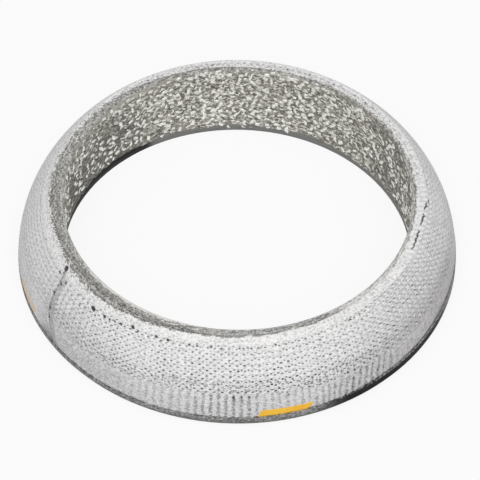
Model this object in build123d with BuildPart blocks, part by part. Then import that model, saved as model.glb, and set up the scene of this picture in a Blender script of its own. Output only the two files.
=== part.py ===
"""Exhaust ring gasket: a pressed graphite and wire ring with a knitted, coated
facing on its convex seat. Millimetres, +Z up, origin at the centre of the flat
face that rests on the flange; +Z is the ring's axis."""

from build123d import *
from math import asin, cos, radians, sin, sqrt, tan
import os

# Ring
outer_diameter = 76.0
ring_width = 8.0  # from the bore to the widest part of the seat
height = 16.0
top_face_width = 2.24  # flat ring left between the bore and the convex seat
widest_height = 1.65  # the seat is widest this far above the flat face
rim_chamfer_width = 0.65  # outer edge of the flat face
rim_chamfer_height = 1.1
lead_in_width = 0.3  # smooth graphite lip where the pipe enters the bore
lead_in_height = 1.2
bore_edge_chamfer = 0.25  # far end of the bore

# Knitted facing
facing_thickness = 0.8
facing_edge_height = 2.65  # lower edge above the flat face, midway round
facing_corner_radius = 0.8
trim_bore_margin = 0.2  # top face left bare at the bore, on the high side
trim_corner_margin = 0.45  # facing left on the top face, on the low side
skew_direction = 215.0  # the facing was pressed on askew, lowest at this angle
skew_angle = 1.15

# Wales, the columns of the knit, stand out as ribs on the lower part of the seat.
# The grooves between them are straight, so they run out of the convex seat.
wale_count = 180
rib_groove_depth = 0.2  # at the widest part of the seat
rib_groove_angle = 100.0
rib_top_height = 7.6

# Open stitches: the coating has left a row of stitches open below the corner.
# The steps are in wales from one open stitch to the next, round the whole ring.
open_course_drop = 1.95
open_stitch_start = 112
open_stitch_steps = [2, 1, 2, 2, 1, 3, 2, 3, 1, 2, 2, 2, 2, 2, 2, 1]
open_stitch_width = 0.62
open_stitch_height = 0.44

# Seam, where the two ends of the knitted strip meet
seam_angle = 210.0
seam_width = 0.3
seam_start = -0.4  # sideways drift of the seam at the top, the kink and the foot
seam_kink = 0.25
seam_foot = 2.9
seam_kink_height = 8.6

# Crack in the facing, along the corner of the top face: start and length of each run
crack_inset = 0.5
crack_width = 0.16
crack_runs = [(338.6, 7.6), (348.8, 4.6), (355.4, 3.0)]

# Derived from the sizes above
bore_diameter = outer_diameter - 2 * ring_width
outer_radius = outer_diameter / 2
bore_radius = bore_diameter / 2
corner_radius = bore_radius + top_face_width
seat_rise = height - widest_height
seat_fall = outer_radius - corner_radius
seat_radius = (seat_rise**2 + seat_fall**2) / (2 * seat_fall)
seat_centre = outer_radius - seat_radius
wale_angle = 360 / wale_count


def seat_point(radius, z):
    """Point at height z on an arc about the seat's centre of curvature."""
    return (seat_centre + sqrt(radius**2 - (z - widest_height) ** 2), z)


def seat_arc(radius, z_low, z_high):
    """Arc about the seat's centre of curvature, from one height to another."""
    middle = seat_point(radius, (z_low + z_high) / 2)
    return ThreePointArc(seat_point(radius, z_low), middle, seat_point(radius, z_high))


# The whole pressed ring, before it is shared between the core and the facing
with BuildPart() as pressed_ring:
    with BuildSketch(Plane.XZ):
        with BuildLine():
            seat = seat_arc(seat_radius, rim_chamfer_height, height)
            Polyline(
                seat @ 1,
                (bore_radius + bore_edge_chamfer, height),
                (bore_radius, height - bore_edge_chamfer),
                (bore_radius, lead_in_height),
                (bore_radius + lead_in_width, 0),
                (outer_radius - rim_chamfer_width, 0),
                seat @ 0,
            )
        make_face()
        corner = vertices().sort_by(Axis.Y)[-2:].sort_by(Axis.X)[-1]
        fillet(corner, facing_corner_radius)
    revolve(axis=Axis.Z)

# The space that the facing takes: a shell under the seat and the top face,
# open at the bottom along a tilted edge and at the top along an off-centre circle
trim_reach_near = bore_radius + trim_bore_margin
trim_reach_far = corner_radius - trim_corner_margin
trim_radius = (trim_reach_near + trim_reach_far) / 2
trim_offset = (trim_reach_far - trim_reach_near) / 2
trim_centre = (
    trim_offset * cos(radians(skew_direction)),
    trim_offset * sin(radians(skew_direction)),
)
skew_axis_x = (cos(radians(skew_direction)), sin(radians(skew_direction)), 0)
skew_normal = (
    sin(radians(skew_angle)) * skew_axis_x[0],
    sin(radians(skew_angle)) * skew_axis_x[1],
    cos(radians(skew_angle)),
)
lower_edge = Plane(origin=(0, 0, facing_edge_height), z_dir=skew_normal)

with BuildPart() as facing_space:
    add(pressed_ring.part)
    with BuildSketch(Plane.XZ):
        with BuildLine():
            under_seat = seat_arc(
                seat_radius - facing_thickness, 0, height - facing_thickness
            )
            Polyline(
                under_seat @ 1,
                (0, height - facing_thickness),
                (0, 0),
                under_seat @ 0,
            )
        make_face()
    revolve(axis=Axis.Z, mode=Mode.SUBTRACT)
    split(bisect_by=lower_edge, keep=Keep.TOP)
    with BuildSketch(Plane.XY.offset(height)):
        with Locations(trim_centre):
            Circle(trim_radius)
    extrude(amount=-2 * facing_thickness, mode=Mode.SUBTRACT)

# Core: graphite pressed together with crimped wire
with BuildPart() as graphite_core:
    add(pressed_ring.part)
    add(facing_space.part, mode=Mode.SUBTRACT)
graphite_core.part.label = "graphite_core"

# One groove between two ribs, from the widest part of the seat to where it runs out
groove_foot = Vector(outer_radius - rib_groove_depth, 0, widest_height)
groove_end = Vector(seat_point(seat_radius, rib_top_height)[0], 0, rib_top_height)
groove_run = groove_end - groove_foot
groove_plane = Plane(origin=groove_foot, x_dir=(0, 1, 0), z_dir=groove_run)
groove_opening = 3 * rib_groove_depth
groove_half_width = groove_opening * tan(radians(rib_groove_angle / 2))
with BuildPart() as rib_groove:
    with BuildSketch(groove_plane.offset(-rib_top_height)):
        with BuildLine():
            Polyline(
                (0, 0),
                (groove_half_width, -groove_opening),
                (-groove_half_width, -groove_opening),
                close=True,
            )
        make_face()
    extrude(amount=3 * rib_top_height)

# One open stitch, a diamond straight through the facing
open_stitch_angle = asin(seat_rise / seat_radius) - open_course_drop / seat_radius
stitch_direction = (cos(open_stitch_angle), 0, sin(open_stitch_angle))
stitch_plane = Plane(
    origin=(
        seat_centre + seat_radius * stitch_direction[0],
        0,
        widest_height + seat_radius * stitch_direction[2],
    ),
    x_dir=(0, 1, 0),
    z_dir=stitch_direction,
)
with BuildPart() as open_stitch:
    with BuildSketch(stitch_plane):
        with BuildLine():
            Polyline(
                (open_stitch_width / 2, 0),
                (0, open_stitch_height / 2),
                (-open_stitch_width / 2, 0),
                (0, -open_stitch_height / 2),
                close=True,
            )
        make_face()
    extrude(amount=1.5 * facing_thickness, both=True)

open_stitch_wales = [open_stitch_start]
while open_stitch_wales[-1] < open_stitch_start + wale_count:
    step = open_stitch_steps[(len(open_stitch_wales) - 1) % len(open_stitch_steps)]
    open_stitch_wales.append(open_stitch_wales[-1] + step)
open_stitch_wales.pop()

# Facing: knitted wire strip, coated and pressed onto the seat
seam_plane = Plane(
    origin=(0, 0, 0),
    x_dir=(-sin(radians(seam_angle)), cos(radians(seam_angle)), 0),
    z_dir=(cos(radians(seam_angle)), sin(radians(seam_angle)), 0),
)
with BuildPart() as knit_facing:
    add(facing_space.part)
    with PolarLocations(0, wale_count, start_angle=wale_angle / 2):
        add(rib_groove.part, mode=Mode.SUBTRACT)
    stitch_turns = [
        Location((0, 0, 0), (0, 0, wale * wale_angle)) for wale in open_stitch_wales
    ]
    with Locations(stitch_turns):
        add(open_stitch.part, mode=Mode.SUBTRACT)
    with BuildSketch(seam_plane.offset(bore_radius)):
        with BuildLine():
            Polyline(
                (seam_start, height + facing_thickness),
                (seam_kink, seam_kink_height),
                (seam_foot, 0),
            )
        trace(line_width=seam_width)
    extrude(amount=outer_radius - bore_radius + facing_thickness, mode=Mode.SUBTRACT)
    with BuildSketch(Plane.XY.offset(height)):
        for crack_start, crack_length in crack_runs:
            crack_line = CenterArc(
                (0, 0),
                corner_radius - crack_inset,
                crack_start,
                crack_length,
                mode=Mode.PRIVATE,
            )
            SlotArc(crack_line, crack_width)
    extrude(amount=-1.5 * facing_thickness, mode=Mode.SUBTRACT)
knit_facing.part.label = "knit_facing"

os.makedirs("parts", exist_ok=True)
export_step(graphite_core.part, "parts/graphite_core.step")
export_step(knit_facing.part, "parts/knit_facing.step")
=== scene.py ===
"""Exhaust ring gasket on a pale floor. The pressed graphite ring comes from the
frame; the knitted facing and the wire in the graphite are modelled here."""

import math

import bmesh
import bpy
import numpy as np
from mathutils import Matrix, Vector


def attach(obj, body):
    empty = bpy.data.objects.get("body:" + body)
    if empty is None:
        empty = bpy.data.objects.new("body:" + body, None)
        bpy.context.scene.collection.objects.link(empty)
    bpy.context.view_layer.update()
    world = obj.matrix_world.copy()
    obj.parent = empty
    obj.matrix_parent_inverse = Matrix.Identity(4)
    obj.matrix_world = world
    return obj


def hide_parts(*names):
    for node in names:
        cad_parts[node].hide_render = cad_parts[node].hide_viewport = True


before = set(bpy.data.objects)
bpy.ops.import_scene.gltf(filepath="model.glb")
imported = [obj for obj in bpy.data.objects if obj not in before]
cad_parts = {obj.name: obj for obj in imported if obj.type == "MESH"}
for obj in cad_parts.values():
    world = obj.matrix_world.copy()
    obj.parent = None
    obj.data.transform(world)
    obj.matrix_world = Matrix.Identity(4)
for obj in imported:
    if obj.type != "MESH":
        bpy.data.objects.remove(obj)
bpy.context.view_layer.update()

MM = 0.001

# Section of the ring, millimetres
OUTER_RADIUS = 38.0
BORE_RADIUS = 30.0
HEIGHT = 16.0
CORNER_RADIUS = 32.24
WIDEST_HEIGHT = 1.65
CORNER_FILLET = 0.8
LEAD_IN_WIDTH = 0.3
LEAD_IN_HEIGHT = 1.2
FACING_THICKNESS = 0.8
SEAT_RISE = HEIGHT - WIDEST_HEIGHT
SEAT_FALL = OUTER_RADIUS - CORNER_RADIUS
SEAT_RADIUS = (SEAT_RISE**2 + SEAT_FALL**2) / (2 * SEAT_FALL)
SEAT_CENTRE = OUTER_RADIUS - SEAT_RADIUS
SEAT_LENGTH = SEAT_RADIUS * math.asin(SEAT_RISE / SEAT_RADIUS)

# Round the corner between seat and top face
FILLET_RISE = HEIGHT - CORNER_FILLET
FILLET_REACH = SEAT_CENTRE + math.sqrt(
    (SEAT_RADIUS - CORNER_FILLET) ** 2 - (FILLET_RISE - WIDEST_HEIGHT) ** 2
)
FILLET_TURN = math.pi / 2 - math.asin(
    (FILLET_RISE - WIDEST_HEIGHT) / (SEAT_RADIUS - CORNER_FILLET)
)
FILLET_TOP = CORNER_RADIUS - FILLET_REACH
FILLET_SEAT = SEAT_RADIUS * (math.pi / 2 - FILLET_TURN) - SEAT_LENGTH

# The facing was pressed on askew
SKEW_DIRECTION = math.radians(215.0)
SKEW_RISE = math.tan(math.radians(1.15))
LOWER_EDGE_HEIGHT = 2.65
TRIM_RADIUS = 30.995
TRIM_OFFSET = 0.795

# The knit
WALES = 180
COLUMNS_PER_WALE = 6
SECTORS = 36
COURSES = 40
COURSE_PITCH = 1.0
KNIT_SETBACK = 0.03  # how far the coated surface lies inside the smooth seat
CORE_CLEARANCE = 0.02  # between the facing's underside and the core
PAINT_THICKNESS = 0.03

# Depths in the facing
STITCH_DEPTH = 0.14
OPEN_STITCH_DEPTH = 0.55
SEAM_DEPTH = 0.22
CRACK_DEPTH = 0.18
ROLL_DEPTH = 0.02  # of a course or a wale on the smooth part

# A length of pressed wire of size 1
WIRE_HALF_WIDTH = 0.33
WIRE_HALF_THICKNESS = 0.15

# The photo's camera, fitted to its outlines
CAMERA_AIM = (0.4765, 0, 4.5002)
CAMERA_DISTANCE = 760
CAMERA_ELEVATION = 0.8454
CAMERA_ROLL = 0.0124
CAMERA_LENS = 328.86
FLOOR_GAP = 0.02

MERGE_DISTANCE = 0.0005
PATCH_ROWS = 64  # rows of the random table behind the smooth patches
WHITE = (1, 1, 1, 1)


# ---- helpers


def bump(*distances):
    """1 at no distance, next to nothing from a distance of two."""
    return np.exp(-sum(distance**2 for distance in distances))


def off_centre(value):
    """Distance to the nearest whole number, from -0.5 to 0.5."""
    return value - np.round(value)


def nearest(value, count):
    return np.round(value).astype(int) % count


def smooth(low, high, value):
    """0 below low, 1 above high, smooth between."""
    x = np.clip((value - low) / (high - low), 0, 1)
    return x * x * (3 - 2 * x)


def band(start, end, fade, value):
    """1 between start and end, fading out over fade on both sides."""
    return smooth(start - fade, start, value) * (1 - smooth(end, end + fade, value))


def round_ring(azimuth, stops):
    """A value that changes round the ring, from (degrees, value) stops."""
    at, values = zip(*stops)
    return np.interp(azimuth, at, values, period=360)


def wander(azimuth, seed, waves, size):
    """A value that wanders smoothly round the ring, between about -size and size."""
    draw = np.random.default_rng(seed)
    total = np.zeros_like(azimuth)
    for wave in waves:
        total = total + draw.normal() * np.sin(
            np.radians(azimuth) * wave + draw.uniform(0, 2 * math.pi)
        )
    return total * size / math.sqrt(len(waves))


def patchy(azimuth, along, seed, cells, step):
    """Smooth random patches from -1 to 1: so many round the ring, one a step down."""
    table = np.random.default_rng(seed).uniform(-1, 1, (cells, PATCH_ROWS))
    turn = azimuth / 360 * cells
    down = along / step + PATCH_ROWS / 2
    left, top = np.floor(turn).astype(int), np.floor(down).astype(int)
    u, v = smooth(0, 1, turn - left), smooth(0, 1, down - top)
    left, right = left % cells, (left + 1) % cells
    top, low = top % PATCH_ROWS, (top + 1) % PATCH_ROWS
    upper = table[left, top] * (1 - u) + table[right, top] * u
    lower = table[left, low] * (1 - u) + table[right, low] * u
    return upper * (1 - v) + lower * v


def seat_line(along):
    """Radius, height and outward direction of the section at a distance from the
    top corner: below zero down the seat, above zero inward on the top face."""
    angle = (SEAT_LENGTH + along) / SEAT_RADIUS
    turn = np.clip((FILLET_TOP - along) / (FILLET_TOP - FILLET_SEAT), 0, 1) * FILLET_TURN
    on_seat = along < FILLET_SEAT
    on_top = along > FILLET_TOP
    out = np.where(on_seat, np.cos(angle), np.where(on_top, 0.0, np.sin(turn)))
    up = np.where(on_seat, np.sin(angle), np.where(on_top, 1.0, np.cos(turn)))
    corner = FILLET_REACH + CORNER_FILLET * np.sin(turn)
    radius = np.where(on_top, CORNER_RADIUS - along, corner)
    radius = np.where(on_seat, SEAT_CENTRE + SEAT_RADIUS * np.cos(angle), radius)
    corner = FILLET_RISE + CORNER_FILLET * np.cos(turn)
    height = np.where(on_top, HEIGHT, corner)
    height = np.where(on_seat, WIDEST_HEIGHT + SEAT_RADIUS * np.sin(angle), height)
    return radius, height, out, up


def weld(built, distance):
    bmesh.ops.remove_doubles(built, verts=built.verts, dist=distance)
    bmesh.ops.recalc_face_normals(built, faces=built.faces)


def mesh_of(name, built):
    mesh = bpy.data.meshes.new(name)
    built.to_mesh(mesh)
    built.free()
    mesh.polygons.foreach_set("use_smooth", [True] * len(mesh.polygons))
    return mesh


def new_object(name, data):
    piece = bpy.data.objects.new(name, data)
    bpy.context.scene.collection.objects.link(piece)
    return piece


# ---- shader maths


class Value:
    """A number that runs through a material; arithmetic on it adds Math nodes."""

    def __init__(self, finish, socket):
        self.finish = finish
        self.socket = socket

    def maths(self, operation, *others):
        return self.finish.maths(operation, self, *others)

    def __add__(self, other):
        return self.maths("ADD", other)

    def __sub__(self, other):
        return self.maths("SUBTRACT", other)

    def __rsub__(self, other):
        return self.finish.maths("SUBTRACT", other, self)

    def __mul__(self, other):
        return self.maths("MULTIPLY", other)

    def __truediv__(self, other):
        return self.maths("DIVIDE", other)

    __radd__ = __add__
    __rmul__ = __mul__

    def square(self):
        return self * self

    def ramp(self, low, high):
        """0 at low, 1 at high, smooth between."""
        return self.finish.node(
            "ShaderNodeMapRange",
            {"interpolation_type": "SMOOTHSTEP"},
            [self, low, high, 0.0, 1.0],
        )

    def off_centre(self):
        """Distance to the nearest whole number, from -0.5 to 0.5."""
        return self - self.maths("ROUND")


class Finish:
    """One material, or the world, while its nodes are being written."""

    def __init__(self, owner):
        self.owner = owner
        owner.use_nodes = True
        self.tree = owner.node_tree
        self.tree.nodes.clear()

    def node(self, kind, settings=None, values=(), out=0):
        """Adds a node, its settings first, then the values or links of its sockets."""
        made = self.tree.nodes.new(kind)
        for name, setting in (settings or {}).items():
            setattr(made, name, setting)
        pairs = values.items() if isinstance(values, dict) else enumerate(values)
        for key, value in pairs:
            if isinstance(value, Value):
                self.tree.links.new(value.socket, made.inputs[key])
            else:
                made.inputs[key].default_value = value
        return Value(self, made.outputs[out]) if made.outputs else None

    def maths(self, operation, *values):
        return self.node("ShaderNodeMath", {"operation": operation}, values)

    def place(self):
        """Object coordinates in millimetres."""
        spot = self.node("ShaderNodeTexCoord", out="Object")
        scale = {0: spot, "Scale": 1 / MM}
        return self.node("ShaderNodeVectorMath", {"operation": "SCALE"}, scale)

    def split(self, vector):
        """The three parts of a place."""
        made = self.tree.nodes.new("ShaderNodeSeparateXYZ")
        self.tree.links.new(vector.socket, made.inputs[0])
        return [Value(self, made.outputs[i]) for i in range(3)]

    def attribute(self, name):
        """What work_knit noted under this name."""
        return self.node("ShaderNodeAttribute", {"attribute_name": name}, out="Fac")

    def stretch(self, vector, x, y, z):
        factors = {0: vector, 1: (x, y, z)}
        return self.node("ShaderNodeVectorMath", {"operation": "MULTIPLY"}, factors)

    def noise(self, vector, scale, detail=2.0, roughness=0.6, upright=1.0):
        """Noise from 0 to 1; the higher upright is, the flatter its patches."""
        if upright != 1.0:
            vector = self.stretch(vector, 1.0, 1.0, upright)
        values = {"Vector": vector, "Scale": scale, "Detail": detail}
        values["Roughness"] = roughness
        return self.node("ShaderNodeTexNoise", None, values, out="Fac")

    def blend(self, factor, first, second):
        """Colour blend: first where factor is 0, second where it is 1."""
        settings = {"data_type": "RGBA", "clamp_factor": True}
        values = {0: factor, 6: first, 7: second}
        return self.node("ShaderNodeMix", settings, values, out=2)

    def layers(self, colour, *steps):
        """Colours laid over a first one in turn, each by its own factor."""
        for factor, over in steps:
            colour = self.blend(factor, colour, over)
        return colour

    def rays(self, *kinds):
        """1 for rays of these kinds, 0 for all others."""
        paths = self.tree.nodes.new("ShaderNodeLightPath")
        first, *others = [Value(self, paths.outputs[f"Is {kind} Ray"]) for kind in kinds]
        for other in others:
            first = first.maths("MAXIMUM", other)
        return first

    def close(self, colour, roughness, height, height_mm, metallic=0.0, specular=0.5):
        """The surface: what changes goes to colour, roughness, metallic and bump."""
        values = {"Strength": 1.0, "Distance": height_mm * MM, "Height": height}
        surface = {
            "Base Color": colour,
            "Roughness": roughness,
            "Metallic": metallic,
            "Normal": self.node("ShaderNodeBump", None, values),
            "Specular IOR Level": specular,
        }
        shader = self.node("ShaderNodeBsdfPrincipled", None, surface)
        self.node("ShaderNodeOutputMaterial", None, {"Surface": shader})
        return self.owner


def new_finish(name):
    return Finish(bpy.data.materials.new(name))


def grey(level, warmth=0.0):
    return (level * (1 + 0.3 * warmth), level, level * (1 - warmth), 1.0)


def toward(x, y, out, degrees):
    """1 where the ring lies in this direction from its axis, -1 on its far side."""
    turn = math.radians(degrees)
    return (x * math.cos(turn) + y * math.sin(turn)) / out


# ---- graphite


def graphite_colour(finish, place):
    """Pressed graphite with wire showing dimly in it: colour and bump height."""
    coarse = finish.noise(place, 0.9, 2.0, 0.55, upright=1.5)
    flecks = finish.noise(place, 1.5, upright=1.5)
    fine = finish.noise(place, 5.0)
    dark = finish.blend(coarse.ramp(0.35, 0.65), grey(0.15, 0.13), grey(0.34, 0.13))
    light = finish.blend(fine.ramp(0.3, 0.7), grey(0.6, 0.09), grey(0.98, 0.07))
    shown = flecks.ramp(0.47, 0.62)
    return finish.blend(shown, dark, light), shown * 0.7 + fine * 0.3


def face_colour(finish, place):
    """Bare graphite and knit ends on the top face, drawn out round the ring."""
    x, y, z = finish.split(place)
    out = (x.square() + y.square()).maths("SQRT")
    drawn = finish.node(
        "ShaderNodeCombineXYZ", None, [x / out * 34, y / out * 34, (out - z) * 4.5]
    )
    streaks = finish.noise(drawn, 0.9, 3.0)
    grain = finish.noise(place, 3.0)
    dark = finish.blend(grain.ramp(0.35, 0.65), grey(0.17, 0.06), grey(0.36, 0.06))
    light = finish.blend(grain.ramp(0.3, 0.65), grey(0.42, 0.05), grey(0.85, 0.04))
    lines = finish.noise(finish.stretch(drawn, 1.0, 1.0, 0.45), 1.5)

    # A darker track round the front left, and the left and the back dimmer
    track = 1 - (out + (grain - 0.5) * 0.6 - 31.45).maths("ABSOLUTE").ramp(0.1, 0.45)
    track = track * toward(x, y, out, 238).ramp(0.75, 0.95)
    at_left = toward(x, y, out, 200).ramp(0.6, 0.95)
    dimmer = at_left.maths("MAXIMUM", (y / out).ramp(0.2, 0.7))
    # At the front paler beside the coating and darker along the bore
    beside = (out + (grain - 0.5) * 0.8).ramp(30.9, 31.4)
    rubbed = finish.blend(beside, grey(0.2), grey(0.8))
    colour = finish.layers(
        dark,
        ((streaks + (grain - 0.5) * 0.5).ramp(0.42, 0.62), light),
        (lines.ramp(0.54, 0.66) * 0.55, grey(0.06, 0.05)),
        (lines.ramp(0.46, 0.34) * 0.4, grey(0.85, 0.03)),
        (track * 0.4, grey(0.07, 0.05)),
        (dimmer * 0.35, grey(0.16, 0.08)),
        (toward(x, y, out, 281).ramp(0.9, 0.98) * 0.35, rubbed),
    )
    return colour, streaks * 0.6 + grain * 0.4


def graphite_finish():
    """The core: the bore, the top face, the foot of the bore and the rim."""
    finish = new_finish("graphite_and_wire")
    place = finish.place()
    x, y, z = finish.split(place)
    colour, height = graphite_colour(finish, place)
    face, face_height = face_colour(finish, place)
    out = (x.square() + y.square()).maths("SQRT")
    drift = finish.noise(place, 0.12, 2.0, 0.5, upright=0.0)
    wave = finish.noise(place, 0.8, 2.0, 0.5, upright=0.0)

    # Even, mottled graphite in the uppermost part of the bore
    soft = finish.noise(place, 1.1, 3.0, upright=2.0)
    even = finish.blend(soft.ramp(0.35, 0.65), grey(0.2, 0.14), grey(0.5, 0.12))
    back_left = toward(x, y, out, 143)
    back = toward(x, y, out, 85).ramp(0.85, 0.97)
    pale = back_left.ramp(0.75, 0.95).maths("MAXIMUM", back)
    even = finish.blend(pale * soft.ramp(0.2, 0.6) * 0.4, even, grey(0.85, 0.09))
    even_zone = (z + back_left.ramp(0.8, 0.95) * 0.5).ramp(14.8, 15.5) * 0.8
    # Painted shade: the lower bore darker at the left, and the whole of it at the right
    painted_shade_left = toward(x, y, out, 147).ramp(0.88, 0.98) * (1 - z.ramp(6.0, 16.5))
    painted_shade_right = toward(x, y, out, 10).ramp(0.85, 0.95)
    colour = finish.layers(
        colour,
        (even_zone * (1 - back * 0.5), even),
        (painted_shade_left * 0.6, grey(0.1, 0.09)),
        (painted_shade_right * 0.32, grey(0.1, 0.09)),
    )

    # The flat top face, paler along the bore
    top = z.ramp(15.6, 15.95)
    front_left = toward(x, y, out, 233)
    lip = (out + wave * 0.8 - front_left.ramp(0.9, 0.98) * 0.25).ramp(30.5, 30.9)
    lip = (1 - lip) * top * (1 - (y / out).ramp(-0.1, 0.4))
    # At the right the coating has spread past the facing, nearly to the bore
    spread = toward(x, y, out, 328).ramp(0.88, 0.96)
    spread = spread * (out + (wave - 0.5) * 0.8).ramp(30.4, 30.6) * top
    colour = finish.layers(
        colour,
        (top, face),
        (lip * (front_left.ramp(0.88, 0.98) * 0.35 + 0.45), grey(0.85, 0.03)),
        (spread * (wave * 0.9 + 0.3), grey(0.8, 0.01)),
    )
    height = height + (face_height - height) * top

    # Smooth graphite at the foot of the bore, nearly black at the left
    smeared = 1 - (z - drift * 3.2 + 0.3).ramp(0.1, 0.5)
    streaks = finish.noise(finish.stretch(place, 0.25, 0.25, 3.0), 1.6, 3.0)
    plain = finish.blend(streaks.ramp(0.3, 0.7), grey(0.2, 0.01), grey(0.28, 0.01))
    black = toward(x, y, out, 156).ramp(0.78, 0.95) * 1.2
    black = black - (z + (wave - 0.5) * 1.5).ramp(1.3, 2.6) * 1.3
    black = black.ramp(0.0, 0.35)
    plain = finish.blend(black, plain, grey(0.02))

    # The outer rim: graphite with painted shade, darker at its foot, nearly black at the
    # right
    rim = out.ramp(36.0, 36.4)
    grit = finish.noise(place, 2.2, 3.0, 0.65, upright=1.3)
    # Painted shade at the foot of the rim, next to the floor
    foot = 1 - (z + (grit - 0.5) * 2.0).ramp(1.0, 1.9)
    # Nearly black at the right: dark graphite and painted shade
    graphite_and_shade_right = 1 - (z + (grit - 0.5) * 1.6).ramp(2.3, 2.9)
    graphite_and_shade_right = toward(x, y, out, 317).ramp(0.88, 0.96) * graphite_and_shade_right
    rim_colour = finish.layers(
        grey(0.11),
        (grit.ramp(0.35, 0.68), grey(0.46, 0.02)),
        (foot * 0.6, grey(0.12)),
        (graphite_and_shade_right, finish.blend(streaks.ramp(0.4, 0.7), grey(0.006), grey(0.025))),
    )

    smoothed = smeared.maths("MAXIMUM", black) * (1 - rim)
    colour = finish.layers(colour, (smoothed, plain), (rim, rim_colour))
    bare = (1 - smoothed) * (1 - rim)
    height = height * (bare * 0.9 + 0.1)
    return finish.close(colour, 0.6 + bare * 0.1, height, 0.12, specular=0.1)


def wire_finish():
    """Steel wire, pressed flat and rubbed bright, graphite left on parts of it."""
    finish = new_finish("pressed_wire")
    place = finish.place()
    fine = finish.noise(place, 4.0)
    bright = finish.blend(fine.ramp(0.25, 0.75), grey(0.9, 0.06), grey(1.0, 0.03))
    dull = finish.blend(fine.ramp(0.3, 0.7), grey(0.36, 0.09), grey(0.6, 0.09))
    shine = finish.noise(place, 0.8).ramp(0.35, 0.5)
    colour = finish.blend(shine, dull, bright)
    return finish.close(colour, 0.36 + fine * 0.2, fine, 0.02, shine * 0.8)


# ---- the knitted facing


def facing_edges(azimuth):
    """Distances along the section of the facing's lower and upper edges."""
    turn = np.radians(azimuth) - SKEW_DIRECTION
    rise = LOWER_EDGE_HEIGHT - SKEW_RISE * OUTER_RADIUS * np.cos(turn)
    lower = SEAT_RADIUS * np.arcsin((rise - WIDEST_HEIGHT) / SEAT_RADIUS) - SEAT_LENGTH
    reach = TRIM_OFFSET * np.cos(turn) + np.sqrt(
        TRIM_RADIUS**2 - (TRIM_OFFSET * np.sin(turn)) ** 2
    )
    return lower, CORNER_RADIUS - reach


# Rows of the facing's section, from the upper edge down to the lower one
TOP_NOMINAL = 1.2
CORNER_START = 0.2
SEAT_START = -1.0
LOW_NOMINAL = -13.2
OUTER_ROWS = [
    *np.linspace(TOP_NOMINAL, 0.36, 7),
    *np.linspace(CORNER_START, -0.8, 6),
    *np.linspace(SEAT_START, LOW_NOMINAL, 70),
]

# Where the white coating stops short of the facing's edges: (degrees, mm)
COATING_TOP = [
    (5, 1.45), (25, 1.45), (40, 1.6), (60, 1.6), (75, 1.7), (90, 1.65), (110, 1.5),
    (125, 1.15), (135, 0.9), (150, 0.55), (160, 0.25), (172, 0), (190, -0.05),
    (203, -0.1), (209, -0.55), (216, -0.8), (228, -0.7), (236, -0.4), (242, -0.25),
    (250, 0.05), (257, 0.3), (262, 0.25), (271, 0.25), (274, 0.8), (277, 0.5),
    (282, 0.55), (286, 1), (295, 0.75), (300, 1.1), (306, 1.4), (312, 1.65),
    (320, 1.75), (345, 1.7),
]
COATING_LOW = [
    (0, -13.7), (35, -13.75), (90, -14.1), (135, -14.6), (180, -15.1), (215, -15.15),
    (240, -15.2), (270, -15.3), (300, -14.9), (310, -14.7), (330, -14.1), (345, -13.8),
]
# How plainly the knit shows, thinly coated or thickly: (degrees, 0 to 1)
KNIT_SHOWS = [
    (0, 0.55), (40, 0.6), (90, 0.7), (150, 0.5), (182, 0.22), (206, 0.24), (214, 0.65),
    (228, 0.88), (245, 0.88), (262, 0.95), (290, 0.95), (300, 0.9), (318, 0.85),
    (335, 0.85), (350, 0.6),
]
RIBS_SHOW = [
    (0, 0.35), (60, 0.5), (120, 0.45), (185, 0.05), (235, 0.08), (245, 0.3), (257, 0.5),
    (263, 0.95), (271, 0.95), (277, 0.55), (290, 0.5), (297, 0.85), (303, 1),
    (312, 0.85), (318, 0.25), (330, 0.08), (350, 0.2),
]
# Where the wales stand, in wales against their even places, near the corner and
# among the ribs: (degrees, wales)
WALE_PLACE = [
    (0, -0.3), (180, -0.1), (235, -0.2), (242, -0.15), (246, -0.03), (258, 0.06),
    (262, 0.03), (268, -0.07), (272, -0.1), (277, -0.25), (282, -0.3), (290, -0.34),
    (300, -0.4), (312, -0.4), (322, -0.3), (340, -0.3),
]
RIB_PLACE = [
    (0, 0.1), (240, 0.25), (250, 0.2), (254, -0.2), (258, -0.4), (266, -0.37),
    (270, -0.32), (288, -0.3), (296, 0), (301, 0.15), (312, 0.2), (330, 0.1),
]
# How the stitches tilt, and how far from a course the half-way ones stand
DASH_SLANT = [
    (0, 0.3), (90, 0), (180, -0.1), (215, -0.3), (235, -0.3), (262, -0.1), (290, 0.1),
    (305, 0.25), (345, 0.3),
]
HALF_RISE = [(0, 0.4), (235, 0.45), (266, 0.5), (272, 0.27), (295, 0.27), (315, 0.45)]

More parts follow.
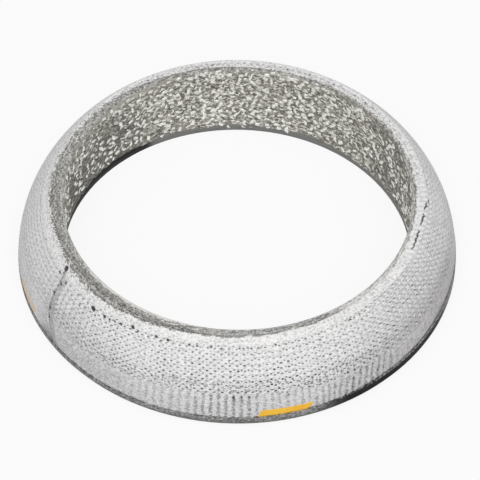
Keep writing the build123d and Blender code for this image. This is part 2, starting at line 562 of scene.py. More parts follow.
# Stitches left open by the coating: degrees, mm along the section from the corner,
# half width in degrees, half height in mm, depth as a share
OPEN_STITCHES = [
    (195.1, -2.5, 0.364, 0.156, 0.7), (207.95, -2.9, 0.494, 0.192, 0.9),
    (209.15, -1.4, 0.65, 0.432, 1.3), (212.1, -3.2, 0.494, 0.204, 0.8),
    (210.8, -4.1, 0.39, 0.264, 0.8), (210, -6.4, 0.42, 0.25, 0.9),
    (210.7, -9.5, 0.4, 0.36, 1), (211.5, -11.2, 0.4, 0.3, 0.9),
    (209.2, -2.3, 0.26, 0.36, 0.6), (224.9, -2.9, 0.78, 0.288, 1.2),
    (229.3, -2.85, 0.494, 0.24, 1), (231.2, -2.8, 0.39, 0.18, 0.85),
    (233, -2.6, 0.364, 0.18, 0.8), (235, -2.45, 0.442, 0.204, 0.95),
    (238.8, -1.95, 0.468, 0.264, 1.1), (240.7, -2.2, 0.364, 0.18, 0.8),
    (246.4, -1.95, 0.42, 0.2, 1), (248.4, -2.3, 0.3, 0.13, 0.6),
    (250.1, -1.9, 0.46, 0.19, 1), (252.2, -2.1, 0.25, 0.12, 0.5),
    (256.5, -1.8, 0.36, 0.18, 0.9), (258.8, -1.75, 0.34, 0.17, 0.85),
    (262.9, -1.65, 0.34, 0.17, 0.85), (265.6, -1.8, 0.3, 0.12, 0.6),
    (271.1, -1.65, 0.34, 0.16, 0.7), (273.5, -1.6, 0.34, 0.14, 0.6),
    (277.2, -1.6, 0.3, 0.11, 0.5), (281.6, -1.45, 0.33, 0.16, 0.8),
    (283.9, -1.5, 0.36, 0.12, 0.7), (292, -1.3, 0.26, 0.1, 0.4),
    (305.6, -1.2, 0.36, 0.17, 0.9), (317.2, -0.9, 0.3, 0.1, 0.4),
    (220.1, -4.2, 0.416, 0.156, 0.6), (218.6, -2.7, 0.325, 0.144, 0.4),
    (359.7, -0.9, 0.45, 0.25, 0.8), (42, 0.75, 0.5, 0.2, 0.49),
    (45.4, 0.8, 0.5, 0.22, 0.63), (49.9, 0.75, 0.5, 0.2, 0.56),
    (58.2, 0.75, 0.5, 0.2, 0.56), (60, 0.75, 0.4, 0.18, 0.49),
    (67, 0.75, 0.6, 0.2, 0.49), (74.3, 0.9, 0.4, 0.2, 0.56),
    (95.2, 0.8, 0.4, 0.18, 0.42), (98.8, 0.85, 0.5, 0.2, 0.56),
    (103.8, 0.85, 0.5, 0.2, 0.56), (120.5, 0.75, 0.6, 0.2, 0.63),
    (122.6, 0.6, 0.5, 0.18, 0.49), (130, 0.6, 0.4, 0.2, 0.49),
    (275.5, -8.05, 0.26, 0.2, 0.75), (277.5, -8.05, 0.24, 0.18, 0.6),
    (279.4, -8, 0.26, 0.2, 0.75), (281.35, -8.05, 0.26, 0.18, 0.75),
    (283.3, -8, 0.26, 0.18, 0.7), (285.3, -7.95, 0.25, 0.18, 0.7),
    (287.3, -7.95, 0.22, 0.18, 0.6), (275.8, -10.1, 0.25, 0.2, 0.7),
    (281.5, -9.2, 0.26, 0.16, 0.6), (283.9, -11.05, 0.24, 0.2, 0.7),
    (290.3, -9.75, 0.45, 0.18, 0.65), (292.6, -9.85, 0.4, 0.18, 0.65),
    (294.5, -9.8, 0.35, 0.18, 0.6), (259.3, -8.1, 0.28, 0.2, 0.65),
    (265.3, -8, 0.26, 0.18, 0.6), (269.4, -8.4, 0.26, 0.22, 0.6),
    (271.4, -8.5, 0.26, 0.2, 0.55), (269.55, -10.8, 0.32, 0.28, 0.8),
    (271.6, -10.75, 0.28, 0.26, 0.7), (273.65, -10.8, 0.3, 0.26, 0.7),
    (247.15, -8.75, 0.26, 0.2, 0.6), (241.5, -9.1, 0.22, 0.22, 0.55),
    (248.5, -9.75, 0.3, 0.16, 0.5), (226, -9.55, 0.3, 0.18, 0.45),
    (301.6, -7.3, 0.25, 0.2, 0.5), (301.7, -8.5, 0.26, 0.22, 0.65),
    (303.8, -8.5, 0.28, 0.24, 0.65), (305.75, -8.55, 0.26, 0.2, 0.6),
    (307.8, -9.55, 0.28, 0.2, 0.65), (305.75, -9.6, 0.24, 0.18, 0.55),
    (300.6, -10, 0.28, 0.22, 0.7), (302.7, -10.2, 0.26, 0.3, 0.7),
    (302.1, -11.9, 0.3, 0.4, 0.6), (301.65, -13.75, 0.26, 0.26, 0.6),
    (304.4, -10.9, 0.26, 0.24, 0.6), (303.8, -13.9, 0.24, 0.24, 0.55),
    (306.2, -10.9, 0.26, 0.24, 0.55), (308.4, -11, 0.26, 0.22, 0.6),
    (309.7, -13, 0.24, 0.45, 0.5), (307.8, -13, 0.24, 0.4, 0.5),
    (311.65, -13.2, 0.24, 0.4, 0.5), (309.6, -7.4, 0.26, 0.16, 0.45),
    (307.5, -5.7, 0.3, 0.14, 0.5),
]
SEAM_LINE = [
    (-15.6, 214.3), (-13.5, 213.5), (-11.5, 211.8), (-9.5, 210.7), (-7, 210.3),
    (-4, 210.3), (-1, 209.3), (0.8, 209),
]
CRACKS = [(338.6, 346.2), (348.8, 353.4), (355.4, 358.4)]
CRACK_LINE = [
    (336, 0.2), (339, 0.3), (343, 0.4), (348, 0.4), (351, 0.3), (353, 0.15),
    (356, 0.05), (357.5, -0.15), (358.8, -0.5),
]
# Dabs of paint: first and last degree, lowest and highest mm along the section
FRONT_DAB = (275.5, 290.5, -15.45, -13.6)
SIDE_DAB = (190.5, 205.4, -15, -13.1)
DEGREE_LENGTH = 0.65  # mm round the seat there
# Distance along the section of the first course of open stitches: (degrees, mm)
FIRST_COURSE = [
    (0, -1.0), (90, -1.2), (180, -2.6), (200, -2.8), (215, -2.8), (225, -2.7),
    (235, -2.5), (246, -2.42), (250, -2.3), (254, -2.2), (258, -1.9), (264, -1.75),
    (272, -1.7), (284, -1.62), (292, -1.45), (300, -1.25), (312, -1.15), (330, -1.1),
    (345, -1.05),
]


def shell_fields(azimuth, along):
    """Everything that the knit does at a point of the facing, as arrays."""

    def around(*stops):
        return round_ring(azimuth, stops)

    lower, upper = facing_edges(azimuth)
    shows = around(*KNIT_SHOWS)
    ribs = 0.08 + 0.92 * around(*RIBS_SHOW)
    seam = np.interp(along, *zip(*SEAM_LINE))
    past_seam = (azimuth - seam + 180) % 360 - 180

    # The knit's own coordinates: wale and course numbers, both wandering a little
    first = around(*FIRST_COURSE)
    course = (along - first) / COURSE_PITCH
    course = course + wander(azimuth, 5, (7, 11, 19), 0.04)
    pulled = band(0.4, 12, 6, past_seam)
    course = course - 0.015 * pulled * (12 - past_seam) * smooth(-3, -9, along)
    course = course + 0.09 * patchy(azimuth, along, 42, 360, 0.5)
    half_course = course - around(*HALF_RISE)
    lean = around(*WALE_PLACE) + wander(azimuth, 6, (5, 9, 14), 0.03)
    lean = lean - 0.25 * smooth(-3, -6.5, along) * band(225, 271, 5, azimuth)
    lean = lean - 0.03 * (-along - 2) * pulled * smooth(0, -10, along)
    lean = lean + 0.07 * patchy(azimuth, along, 41, 360, 0.5)
    wale = azimuth * WALES / 360 + lean
    rib_lean = around(*RIB_PLACE) + 0.05 * patchy(azimuth, along, 44, 180, 1)
    rib_lean = rib_lean + 0.55 * smooth(-9.8, -14, along) * band(298, 312, 5, azimuth)

    # One random number for each stitch and for each half-way stitch
    draw = np.random.default_rng(31)
    table = draw.uniform(0, 1, (WALES, COURSES))
    half_table = draw.uniform(0, 1, (WALES, COURSES))
    near_wale = nearest(wale, WALES)
    main = table[near_wale, nearest(course, COURSES)]
    half = half_table[nearest(wale - 0.5, WALES), nearest(half_course, COURSES)]

    # Zones down the seat
    plain = smooth(first + 0.5, first + 1.0, along)
    behind = around((2, 1), (178, 1), (186, 0), (352, 0))
    plain = plain * (1 - behind * smooth(0.35, 0.6, along))
    pitted = band(-9.9, -8.0, 0.7, along + wander(azimuth, 8, (2, 3, 8, 13), 0.3))
    ribbed = 1 - smooth(-10.9, -10.0, along + wander(azimuth, 9, (4, 6, 15), 0.25))

    # How deep or dark each feature is there
    patches = 1 + 0.35 * patchy(azimuth, along, 43, 72, 2.0)
    knit = shows * (1 - ribbed) * (1 - plain) * patches
    knit = knit * (0.8 + 0.2 * smooth(-2, -7, along))
    main_depth = knit * (0.6 + 0.5 * main)
    half_depth = knit * (0.4 + 0.65 * half)
    pit_power = 0.35 + 0.65 * around(
        (0, 0.3), (205, 0.1), (213, 0.5), (225, 0.5), (262, 0.8), (280, 1),
        (305, 1), (320, 0.6), (345, 0.35),
    )
    half_depth = half_depth + pitted * pit_power * (0.1 + 0.6 * half**2)
    columns = around(
        (0, 0.3), (190, 0.2), (212, 0.9), (222, 0.7), (231, 0.3), (295, 0.3),
        (312, 0.7), (325, 1), (342, 1), (352, 0.5),
    ) * (1 - ribbed) * (1 - plain)
    bricks = around(
        (0, 0.3), (40, 0), (306, 0), (317, 1), (342, 1), (352, 0.6)
    ) * (1 - ribbed) * (1 - plain)
    half_depth = half_depth * (1 - 0.15 * columns * (1 - bricks)) * (1 + 0.15 * bricks)
    main_depth = main_depth * (1 - 0.65 * bricks)
    rows = around(
        (0, 0.25), (170, 0.6), (185, 1), (207, 1), (213, 0.35), (225, 0.15),
        (250, 0), (300, 0), (318, 0.5), (345, 0.6),
    ) * (1 - 0.7 * ribbed) * (1 - plain)
    shade = around(
        (0, 0.5), (190, 0), (206, 0), (211, 0.9), (220, 0.7), (235, 0.6),
        (245, 0.1), (290, 0.2), (305, 0.7), (328, 1.2), (336, 1.6), (348, 1.4),
        (354, 0.9),
    ) * smooth(-3.5, -11.5, along)
    mottle = around(
        (0, 0.3), (180, 0.2), (206, 0.2), (211, 1), (235, 0.9), (250, 0.4),
        (262, 0.2), (290, 0.2), (302, 0.7), (318, 1), (335, 1), (350, 0.6),
    ) * smooth(-6.5, -10.5, along)
    worn = around(
        (0, 0.2), (135, 0.2), (150, 0.9), (200, 1), (212, 1), (232, 0.7),
        (248, 0.2), (300, 0.1),
    )
    # Soot near the lower edge, most at the lower right, where it also stands for painted
    # shade
    soot_and_shade = around(
        (0, 0), (180, 0), (206, 0.1), (211, 0.7), (216, 0.5), (222, 0.1),
        (290, 0), (300, 0.2), (310, 0.8), (335, 1), (350, 0.5),
    )
    reach = around(
        (0, 1), (206, 1), (212, 3.4), (217, 1.5), (222, 0.6), (290, 0.6),
        (310, 0.8), (328, 0.9), (338, 1.9), (350, 1.4),
    )
    soot_and_shade = soot_and_shade * (1 - smooth(0.2, 1.0, (along - lower) / reach))

    gap = off_centre(azimuth * WALES / 360 + rib_lean - 0.5)
    groove = bump(gap / 0.19) * ribbed * ribs

    open_hole = np.zeros_like(along)
    for degrees, at, half_width, half_height, depth in OPEN_STITCHES:
        across = ((azimuth - degrees + 180) % 360 - 180) / half_width
        down = (along - at) / half_height
        open_hole = np.maximum(open_hole, depth * bump(across, down))

    # Seen from behind too: a seeded row of open stitches where the photo has none
    row = bump(off_centre(wale) / 0.2, off_centre(course) / 0.17)
    chosen = (table[near_wale, 0] > 0.45) & (np.round(course) == 0)
    open_hole = np.maximum(open_hole, row * chosen * behind * 0.65)

    seam_gap = bump(past_seam / 0.28) * band(-15.6, -1.2, 0.4, along)
    seam_gap = seam_gap * (0.65 + 0.35 * np.sin(along * 5.1) * np.sin(along * 2.3 + 1))

    crack = np.zeros_like(along)
    for start, end in CRACKS:
        crack = np.maximum(crack, band(start, end, 0.4, azimuth))
    zigzag = 0.1 * np.sin(azimuth * 2.9) + 0.07 * np.sin(azimuth * 6.1 + 1)
    off_crack = along - around(*CRACK_LINE) - zigzag

    # How far inside the coating's edges and the dabs of paint, in mm
    coat_top = around(*COATING_TOP) + wander(azimuth, 12, (23, 41, 67, 97), 0.07)
    coat_low = around(*COATING_LOW) + wander(azimuth, 13, (17, 37, 71, 113), 0.08)
    edge = np.minimum(coat_top - along, along - coat_low)

    def dab(area, lower_tip, upper_tip):
        start, end, low, high = area
        share = (along - low) / (high - low)
        left = (azimuth - start - lower_tip * share) * DEGREE_LENGTH
        right = (end - azimuth - upper_tip * (1 - share)) * DEGREE_LENGTH
        level = np.minimum(high - along, along - low)
        return np.minimum(level, np.minimum(left, right))

    return dict(
        azimuth=azimuth, wale=wale, course=course, lean=lean, half_course=half_course,
        rib_lean=rib_lean, slant=around(*DASH_SLANT), main=main_depth, half=half_depth,
        groove=groove, ribbed=ribbed * ribs, open=np.clip(open_hole, 0, 1),
        seam=np.clip(seam_gap, 0, 1), crack=crack, edge=edge,
        front_dab=dab(FRONT_DAB, 1.2, 1.8), side_dab=dab(SIDE_DAB, 4.0, 0.5),
        pitted=pitted * pit_power, past_seam=past_seam, columns=columns, soot_and_shade=soot_and_shade,
        rows=rows, shade=shade, off_crack=off_crack, mottle=mottle, worn=worn,
        bricks=bricks, along=along, lower=lower, upper=upper,
    )


def relief(fields):
    """How far the surface stands out of the smooth seat, in mm."""
    wale, slant, along = fields["wale"], fields["slant"], fields["along"]
    across = off_centre(wale)
    down = off_centre(fields["course"]) + slant * across
    across_half = off_centre(wale - 0.5)
    down_half = off_centre(fields["half_course"]) + slant * across_half
    knit_zone = np.clip(fields["main"] * 1.4, 0, 1)
    column_zone = knit_zone + fields["columns"]
    out = ROLL_DEPTH * knit_zone * np.cos(2 * math.pi * (down - 0.5))
    out = out - ROLL_DEPTH * column_zone * np.cos(2 * math.pi * across)
    out = out - STITCH_DEPTH * fields["main"] * bump(across / 0.15, down / 0.15)
    half_dot = bump(across_half / 0.15, down_half / 0.16)
    out = out - STITCH_DEPTH * fields["half"] * half_dot
    out = out - fields["groove"] * (0.1 + 0.05 * bump(down_half / 0.25))
    out = out - OPEN_STITCH_DEPTH * fields["open"]
    out = out - SEAM_DEPTH * fields["seam"]
    split = bump(fields["off_crack"] / 0.16) * fields["crack"]
    out = out - CRACK_DEPTH * split
    paint = np.maximum(fields["front_dab"], fields["side_dab"])
    covered = smooth(-0.05, 0.15, paint)
    out = out * (1 - 0.6 * covered) + PAINT_THICKNESS * covered
    # The knit's cut ends sink unevenly at both edges
    frayed = 0.5 + 0.5 * np.sin(2 * math.pi * wale + 1.3 * np.sin(fields["azimuth"]))
    low_end = bump((along - fields["lower"]) / 0.25) * (0.25 + 0.75 * frayed)
    top_end = bump((fields["upper"] - along) / 0.25) * (0.2 + 0.8 * frayed)
    return out - 0.16 * low_end - 0.12 * top_end - KNIT_SETBACK


def knit_facing_piece():
    """A closed section of the facing, spun round, then worked into knit."""
    shell = bmesh.new()
    row_mark = shell.verts.layers.float.new("row")
    side_mark = shell.verts.layers.float.new("under")
    inner_rows = [OUTER_ROWS[-1], -8.0, -3.0, OUTER_ROWS[0]]
    corners = []
    for along, under in [(a, 0.0) for a in OUTER_ROWS] + [(a, 1.0) for a in inner_rows]:
        radius, height, out, up = (part[0] for part in seat_line(np.array([along])))
        sunk = under * FACING_THICKNESS
        spot = Vector((radius - out * sunk, 0, height - up * sunk)) * MM
        corner = shell.verts.new(spot)
        corner[row_mark] = along
        corner[side_mark] = under
        corners.append(corner)
    edges = [shell.edges.new((corners[i - 1], corners[i])) for i in range(len(corners))]
    # One sector is spun step by step, then repeated round the ring
    sector = 2 * math.pi / SECTORS
    bmesh.ops.spin(
        shell, geom=corners + edges, axis=(0, 0, 1), angle=sector,
        steps=WALES * COLUMNS_PER_WALE // SECTORS,
    )
    bmesh.ops.spin(
        shell, geom=[*shell.verts, *shell.edges, *shell.faces], axis=(0, 0, 1),
        angle=2 * math.pi - sector, steps=SECTORS - 1, use_duplicate=True,
    )
    weld(shell, MERGE_DISTANCE * MM)
    mesh = mesh_of("knit_facing_coated", shell)
    work_knit(mesh)
    return new_object("knit_facing_coated", mesh)


# What the finish needs to know about each point of the facing
NOTED = (
    "course", "half_course", "lean", "rib_lean", "slant", "main", "half", "ribbed",
    "open", "seam", "crack", "edge", "front_dab", "side_dab", "pitted", "past_seam",
    "columns", "soot_and_shade", "rows", "shade", "off_crack", "mottle", "worn", "bricks",
    "along",
)


def work_knit(mesh):
    """Moves the spun shell's points into the knit's relief and notes what the
    finish needs to know about each point."""
    count = len(mesh.vertices)
    spots = np.empty(count * 3, np.float64)
    mesh.vertices.foreach_get("co", spots)
    spots = spots.reshape(-1, 3)
    azimuth = np.degrees(np.arctan2(spots[:, 1], spots[:, 0])) % 360
    along = np.empty(count, np.float32)
    under = np.empty(count, np.float32)
    mesh.attributes["row"].data.foreach_get("value", along)
    mesh.attributes["under"].data.foreach_get("value", under)
    along = along.astype(np.float64)
    lower, upper = facing_edges(azimuth)
    # The rows on the seat and on the top face spread to reach the slanting edges
    seat_share = (along - LOW_NOMINAL) / (SEAT_START - LOW_NOMINAL)
    along = along + (lower - LOW_NOMINAL) * (1 - np.clip(seat_share, 0, 1))
    top_share = (along - CORNER_START) / (TOP_NOMINAL - CORNER_START)
    along = along + (upper - TOP_NOMINAL) * np.clip(top_share, 0, 1)
    fields = shell_fields(azimuth, along)
    inside = CORE_CLEARANCE - FACING_THICKNESS
    stand = np.where(under > 0.5, inside, relief(fields))
    radius, height, out, up = seat_line(along)
    radius = radius + out * stand
    height = np.minimum(height + up * stand, HEIGHT)
    turn = np.radians(azimuth)
    spots = np.stack([radius * np.cos(turn), radius * np.sin(turn), height], 1) * MM
    mesh.vertices.foreach_set("co", spots.ravel())
    for name in NOTED:
        values = np.clip(fields[name], -20, 20).astype(np.float32)
        mesh.attributes.new(name, "FLOAT", "POINT").data.foreach_set("value", values)
    mesh.attributes.remove(mesh.attributes["row"])
    mesh.attributes.remove(mesh.attributes["under"])
    mesh.update()


def knit_finish():
    """The facing: its coating with all marks on it, bare knit past it, and paint."""
    finish = new_finish("coated_knit")
    place = finish.place()
    x, y, _ = finish.split(place)
    (course, half_course, lean, rib_lean, slant, main, half, ribbed, opened, seam,
     crack, edge, front, side, pitted, past_seam, columns, soot_and_shade, rows, shade,
     off_crack, mottle, worn, bricks, along) = (
        finish.attribute(name) for name in NOTED
    )
    azimuth = y.maths("ARCTAN2", x)
    turns = azimuth * (WALES / (2 * math.pi))
    wale = turns + lean

    across = wale.off_centre()
    down = course.off_centre() + across * slant
    across_half = (wale - 0.5).off_centre()
    down_rib = half_course.off_centre()
    down_half = down_rib + across_half * slant
    across_rib = (turns + rib_lean - 0.5).off_centre()
    ragged = finish.noise(place, 3.5) - 0.5
    rough = finish.noise(place, 1.1, 3.0, 0.65) - 0.5
    fine = finish.noise(place, 9.0)
    tone = finish.noise(place, 0.25, 2.0, 0.5)
    threads = finish.noise(place, 2.2, upright=2.2)
    blots = finish.noise(place, 2.1, 2.0, 0.55, upright=1.3)
    specks = finish.noise(place, 3.2, upright=1.4)

    # The openings of the stitches, of the half-way ones and between the ribs
    width = columns * (bricks * 0.08 + 0.03) + 0.17
    tall = 0.14 - columns * 0.025
    dot = (across / width).square() + (down / tall).square() + ragged * 0.9
    dot = 1 - dot.ramp(0.3, 1.4)
    half_dot = (across_half / (bricks * 0.14 + 0.17)).square()
    half_dot = half_dot + (down_half / (0.135 - bricks * 0.02)).square()
    half_dot = 1 - (half_dot + ragged * 1.4).ramp(0.3, 1.4)
    rib_shade = 1 - (across_rib.maths("ABSOLUTE") + ragged * 0.3).ramp(0.12, 0.42)
    blob = (across_rib / 0.24).square() + (down_rib / 0.7).square() + ragged * 4.0
    blob = 1 - (blob + rough * 5.0).ramp(0.0, 1.3)
    blob = blob * (specks.ramp(0.42, 0.58) * 0.85 + 0.15)
    # Painted shade in the strips between the wales, and the lines of the courses
    strip = (wale * (2 * math.pi)).maths("COSINE") * 0.5 + 0.5
    between = 1 - (across.maths("ABSOLUTE") + ragged * 0.2).ramp(0.08, 0.26)
    between = (between * 0.6 + strip * 0.4) * bricks + strip * (1 - bricks)
    courses = down.square() * 18 + ragged * 1.6 + rough * 0.8
    # Beside the crack the threads stand plain over the corner, which is painted paler
    # there as painted light
    thread = ((wale + along * 0.15) * (2 * math.pi)).maths("COSINE") * 0.5 + 0.5
    drawn = 1 - (azimuth + 0.17).maths("ABSOLUTE").ramp(0.22, 0.36)
    drawn = drawn * (1 - (along + 0.5).maths("ABSOLUTE").ramp(1.0, 1.7))
    split = (off_crack.maths("ABSOLUTE") + ragged * 0.5 + rough * 0.45).ramp(0.1, 0.24)
    # Soot on the coating by its lower edge, partly painted shade
    grime_and_shade_on_coat = (soot_and_shade * 1.4 - ragged * 0.8 - rough * 0.9 - 0.1) * 0.8
    # A grey smear on one side of the seam, wider lower down
    smear = (past_seam - 0.6 + along * 0.07).maths("ABSOLUTE").ramp(0.3, 1.5)
    smear = (1 - smear) * along.maths("ABSOLUTE").ramp(1.0, 3.0)
    # Worn through in specks next to the upper edge, the cut stitches pale along it
    high = along.ramp(-6.0, -0.5)
    low = 1 - along.ramp(-14.5, -7.5)
    scuffed = (1 - edge.ramp(0.1, 1.4)) * high * worn
    fringe = 1 - (edge - strip * 0.2 + ragged * 0.3).ramp(0.1, 0.4)

    # White coating, greyer lower down as painted shade, and what shows on it, in turn
    dark = (0.06, 0.059, 0.062, 1)
    coat = finish.layers(
        (0.95, 0.937, 0.947, 1),
        (high, (0.955, 0.947, 0.938, 1)),
        (tone.ramp(0.35, 0.7) * 0.5, (0.85, 0.84, 0.845, 1)),
        # Painted shade: greyer lower down
        (low * 0.3, (0.62, 0.61, 0.62, 1)),
        ((0.55 - threads) * 3.2, (0.4, 0.395, 0.4, 1)),
        # Painted shade along the strips between the wales
        (between * columns * 0.45, (0.37, 0.365, 0.37, 1)),
        # Painted light: the corner beside the crack paler
        (drawn * 0.8, (0.97, 0.96, 0.965, 1)),
        ((thread - ragged) * drawn * 0.42, (0.4, 0.39, 0.4, 1)),
        # Stitch openings painted dark, for the knit inside them and as painted shade in
        # them
        (dot * main, dark),
        (half_dot * half, dark),
        (blots.ramp(0.54, 0.66) * pitted * 0.65, dark),
        (specks.ramp(0.54, 0.68) * low * 0.5, (0.25, 0.25, 0.255, 1)),
        (blots.ramp(0.49, 0.6) * mottle * 0.5, (0.26, 0.257, 0.26, 1)),
        (rib_shade * ribbed * 0.22, (0.3, 0.295, 0.3, 1)),
        (blob * ribbed * 0.85, (0.07, 0.07, 0.075, 1)),
        ((1 - courses).ramp(0, 1) * rows * 0.42, (0.36, 0.355, 0.36, 1)),
        (shade * (0.3 - rough * 0.4), (0.36, 0.34, 0.335, 1)),
        (grime_and_shade_on_coat, (0.185, 0.178, 0.155, 1)),
        (smear * (0.45 + rough * 1.2), (0.27, 0.265, 0.26, 1)),
        ((seam - ragged * 0.5) * 0.95, (0.12, 0.12, 0.12, 1)),
        (opened.ramp(0.12, 0.5) * 0.95, (0.03, 0.03, 0.033, 1)),
        ((1 - split) * crack * 0.95, (0.05, 0.05, 0.05, 1)),
        (specks.ramp(0.5, 0.62) * scuffed * 0.75, (0.13, 0.13, 0.12, 1)),
        (fringe * high * 0.7, (0.95, 0.945, 0.935, 1)),
    )

    # Bare knit and graphite past the ragged edges of the coating, with a painted shadow
    # next to it, and soot with painted shade at the lower right
    bare, bare_height = face_colour(finish, place)
    behind = y.ramp(5.0, 25.0)
    covered = edge + ragged * (behind * 1.5 + 1.1 + worn * high * 2.2)
    covered = covered + rough * (1.3 + worn * high * 1.2)
    covered = (covered / (behind * 1.8 + 1.0)).ramp(-0.14, 0.14)
    # Painted shadow: the bare knit darker next to the coating's edge, most at the front
    beside = 1 - (edge + 0.25).maths("ABSOLUTE").ramp(0.05, 0.3)
    beside = beside * (1 - y.ramp(-10.0, 10.0) * 0.8)
    # Two plain dabs of yellow paint
    yellow = finish.blend(
        tone.ramp(0.3, 0.7), (0.94, 0.5, 0.03, 1), (0.97, 0.57, 0.045, 1)
    )
    colour = finish.layers(
        bare,
        (beside * 0.55, grey(0.09, 0.03)),
        # Soot and painted shade on the bare knit at the lower right
        (soot_and_shade * low, (0.05, 0.048, 0.04, 1)),
        (covered, coat),
        ((front + ragged * 0.1).ramp(-0.04, 0.06), yellow),
        ((side + ragged * 0.5).ramp(-0.1, 0.5) * 0.62, (0.8, 0.55, 0.28, 1)),
    )

    height = 1 - dot * main - half_dot * half * 0.8 - blob * ribbed * 0.6
    height = height + (threads - 0.5) * 0.5 + (fine - 0.5) * 0.2
    height = height * covered + bare_height * (1 - covered) * 0.8
    return finish.close(colour, 0.62 + fine * 0.15, height, 0.08)


# ---- wire in the graphite


def wire_lengths():
    """Short lengths of flattened wire, from nearly straight to a tight loop."""
    pressed = Matrix.Diagonal((WIRE_HALF_WIDTH, WIRE_HALF_THICKNESS, 1, 1))
    section = Matrix.Rotation(math.pi / 2, 4, "X") @ pressed
    lengths = []
    for turn, reach in ((0.5, 0.75), (0.9, 0.8), (1.6, 1.0), (2.6, 1.3)):
        bend = reach / turn
        length = bmesh.new()
        ring = bmesh.ops.create_circle(
            length, segments=6, radius=1.0, cap_ends=True,
            matrix=Matrix.Translation((bend, 0, 0)) @ section,
        )["verts"]
        edges = {e for v in ring for e in v.link_edges}
        faces = {f for v in ring for f in v.link_faces}
        bmesh.ops.spin(
            length, geom=[*ring, *edges, *faces], axis=(0, 0, 1), angle=turn, steps=5
        )
        middle = Vector((math.cos(turn / 2), math.sin(turn / 2), 0)) * bend
        level = Matrix.Rotation(-turn / 2 - math.pi / 2, 4, "Z")
        laid = level @ Matrix.Translation(-middle)
        bmesh.ops.transform(length, matrix=laid, verts=length.verts)
        weld(length, 0.001)
        lengths.append(mesh_of("wire_length", length))
    return lengths


def directions(angle):
    """Outward from the axis and along the ring, at an angle round it."""
    outward = Vector((math.cos(angle), math.sin(angle), 0))
    return outward, Vector((-outward.y, outward.x, 0))


def frame_of(first, second, third, spot):
    """A frame from its three axes and its place in mm."""
    made = Matrix.Identity(4)
    for i, axis in enumerate((first, second, third)):
        made.col[i] = (*axis, 0)
    made.col[3] = (*(spot * MM), 1)
    return made


def lay_wires(name, lengths, places):
    """One piece with a length of wire at each place: which length, its frame."""
    wires = bmesh.new()
    for which, frame_at in places:
        length = lengths[which].copy()
        length.transform(frame_at)
        wires.from_mesh(length)
        bpy.data.meshes.remove(length)
    return new_object(name, mesh_of(name, wires))


# Smooth graphite at the foot of the bore, in mm, and where the wire is sparse
BORE_LIP = [
    (0, 2.4), (30, 2.8), (50, 2), (65, 2.3), (80, 0.9), (95, 0.8), (103, 1.6),
    (118, 1.7), (125, 2), (140, 2.4), (160, 2.9), (190, 3), (270, 1.4),
]
SPARSE_WIRE = [
    (15, 0.5), (45, 0.6), (60, 0), (120, 0), (135, 0.6), (165, 0.8), (330, 0.5),
]


def bore_wires(lengths, count=1550):
    """Wire showing in the wall of the bore, mostly lying round it."""
    draw = np.random.default_rng(77)
    taken = np.full((count, 3), -100.0)
    places = []
    while len(places) < count:
        azimuth = draw.uniform(0, 360)
        angle = math.radians(azimuth)
        at_back = 55 < azimuth < 105
        tilt = draw.normal(0, 0.7) + round_ring(azimuth, [(90, -0.1), (150, 0.25)])
        size = draw.uniform(0.65, 1.35)
        height = draw.uniform(0.5, 16.2 if at_back else 15.4)
        which = int(draw.choice(4, p=(0.3, 0.3, 0.25, 0.15)))
        flip = draw.uniform() < 0.5
        lip = round_ring(azimuth, BORE_LIP)
        here = np.array([azimuth]), np.array([height])
        crowd = patchy(*here, 79, 110, 1.6)[0] + 0.6 * patchy(*here, 80, 40, 4.0)[0]
        crowd -= round_ring(azimuth, SPARSE_WIRE)
        lowest = lip + 0.1 + abs(draw.normal(0, 0.25))
        if height < lowest or draw.uniform() > 0.7 + 0.6 * crowd:
            continue
        # The lengths hardly cover one another
        round_way = (angle - taken[:, 0] + math.pi) % (2 * math.pi) - math.pi
        apart = np.hypot(round_way * BORE_RADIUS / 1.25, (height - taken[:, 1]) / 0.85)
        if np.any(apart < 0.4 * (size + taken[:, 2])):
            continue
        taken[len(places)] = angle, height, size
        outward, level = directions(angle)
        # Below the lead-in the wall leans out
        lean = LEAD_IN_WIDTH / LEAD_IN_HEIGHT if height < LEAD_IN_HEIGHT else 0.0
        reach = BORE_RADIUS + lean * (LEAD_IN_HEIGHT - height) + draw.uniform(0.03, 0.1)
        rise = (Vector((0, 0, 1)) - outward * lean).normalized()
        spot = outward * reach + Vector((0, 0, height))
        turned = Matrix.Rotation(tilt + (math.pi if flip else 0), 4, "Z")
        laid = frame_of(level, rise, level.cross(rise), spot) @ turned
        laid = laid @ Matrix.Scale(size * MM, 4)
        # No wire stands above the upper edge of the bore
        highest = max((laid @ v.co).z for v in lengths[which].vertices)
        gap = draw.uniform(0.02, 0.4 if at_back else 0.8)
        slide = min(0.0, (HEIGHT - gap) * MM - highest)
        places.append((which, Matrix.Translation((0, 0, slide)) @ laid))
    return lay_wires("bore_wire", lengths, places)


def face_wires(lengths, count=500):
    """Wire showing in the bare part of the top face, lying round it."""
    draw = np.random.default_rng(78)
    places = []
    while len(places) < count:
        azimuth = draw.uniform(0, 360)
        _, upper = facing_edges(azimuth)
        width = CORNER_RADIUS - upper - BORE_RADIUS
        reach = BORE_RADIUS + 0.3 + (width - 0.4) * draw.uniform()
        skip = draw.uniform()
        tilt = draw.normal(0, 0.25)
        size = draw.uniform(0.3, 0.55)
        which = int(draw.choice(3, p=(0.5, 0.35, 0.15)))
        if width < 0.5 or skip > width / 1.8:
            continue
        outward, level = directions(math.radians(azimuth))
        # Pressed in, with only a trace of it above the face
        rise = HEIGHT - WIRE_HALF_THICKNESS * size + 0.004
        spot = outward * reach + Vector((0, 0, rise))
        laid = frame_of(level, -outward, (0, 0, 1), spot)
        laid = laid @ Matrix.Rotation(tilt, 4, "Z") @ Matrix.Scale(size * MM, 4)
        places.append((which, laid))
    return lay_wires("face_wire", lengths, places)


# ---- studio


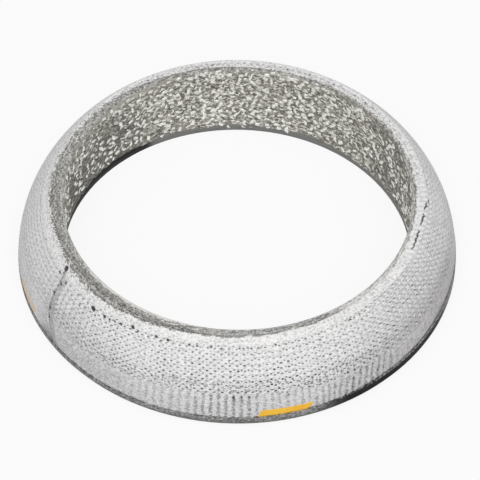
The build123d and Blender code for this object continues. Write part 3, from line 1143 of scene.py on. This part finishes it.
def floor_finish():
    """White to the camera, with a trace of the ring's shadow."""
    finish = new_finish("pale_floor")
    seen = finish.rays("Camera", "Glossy", "Transmission")
    matt = finish.node("ShaderNodeBsdfDiffuse", None, {"Color": (0.8, 0.8, 0.8, 1)})
    white = finish.node("ShaderNodeEmission", None, {"Color": WHITE, "Strength": 1.0})
    surface = finish.node("ShaderNodeMixShader", None, [seen * 0.88, matt, white])
    finish.node("ShaderNodeOutputMaterial", None, {"Surface": surface})
    return finish.owner


def floor_piece():
    sheet = bmesh.new()
    bmesh.ops.create_grid(sheet, x_segments=1, y_segments=1, size=3.0)
    bmesh.ops.translate(sheet, vec=(0, 0, -FLOOR_GAP * MM), verts=sheet.verts)
    mesh = mesh_of("studio_floor", sheet)
    mesh.materials.append(floor_finish())
    return new_object("studio_floor", mesh)


def soft_world(level):
    """An even white surround, white behind the ring."""
    finish = Finish(bpy.data.worlds.new("studio"))
    seen = finish.rays("Camera", "Transmission")
    even = {"Color": WHITE, "Strength": level}
    surround = finish.node("ShaderNodeBackground", None, even)
    behind = finish.node("ShaderNodeBackground", None, {"Color": WHITE})
    mixed = finish.node("ShaderNodeMixShader", None, [seen, surround, behind])
    finish.node("ShaderNodeOutputWorld", None, {"Surface": mixed})
    bpy.context.scene.world = finish.owner


def soft_lamp(name, azimuth, elevation, distance, size, power):
    lamp = bpy.data.lights.new(name, "AREA")
    lamp.shape = "SQUARE"
    lamp.size = size
    lamp.energy = power
    holder = new_object(name, lamp)
    turn, rise = math.radians(azimuth), math.radians(elevation)
    outward = Vector(
        (math.cos(rise) * math.cos(turn), math.cos(rise) * math.sin(turn), math.sin(rise))
    )
    holder.location = outward * distance
    holder.rotation_euler = outward.to_track_quat("Z", "Y").to_euler()


def studio_camera():
    lens = bpy.data.cameras.new("camera")
    lens.lens = CAMERA_LENS
    lens.clip_start = 0.01
    lens.clip_end = 20.0
    camera = new_object("camera", lens)
    back = Vector((0, -math.cos(CAMERA_ELEVATION), math.sin(CAMERA_ELEVATION)))
    spot = Vector(CAMERA_AIM) * MM + back * CAMERA_DISTANCE * MM
    tilt = Matrix.Rotation(math.pi / 2 - CAMERA_ELEVATION, 4, "X")
    tilt = tilt @ Matrix.Rotation(CAMERA_ROLL, 4, "Z")
    camera.matrix_world = Matrix.Translation(spot) @ tilt
    bpy.context.scene.camera = camera


# ---- assembly

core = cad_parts["graphite_core"]
core.data.materials.clear()
core.data.materials.append(graphite_finish())

facing = knit_facing_piece()
facing.data.materials.append(knit_finish())
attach(facing, "root")
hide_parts("knit_facing")

wire = wire_finish()
lengths = wire_lengths()
for piece in (bore_wires(lengths), face_wires(lengths)):
    piece.data.materials.append(wire)
    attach(piece, "root")

floor_piece()
soft_world(0.52)
soft_lamp("key", 270, 58, 1.0, 0.8, 5.4)
studio_camera()
bpy.context.scene.view_settings.view_transform = "Standard"
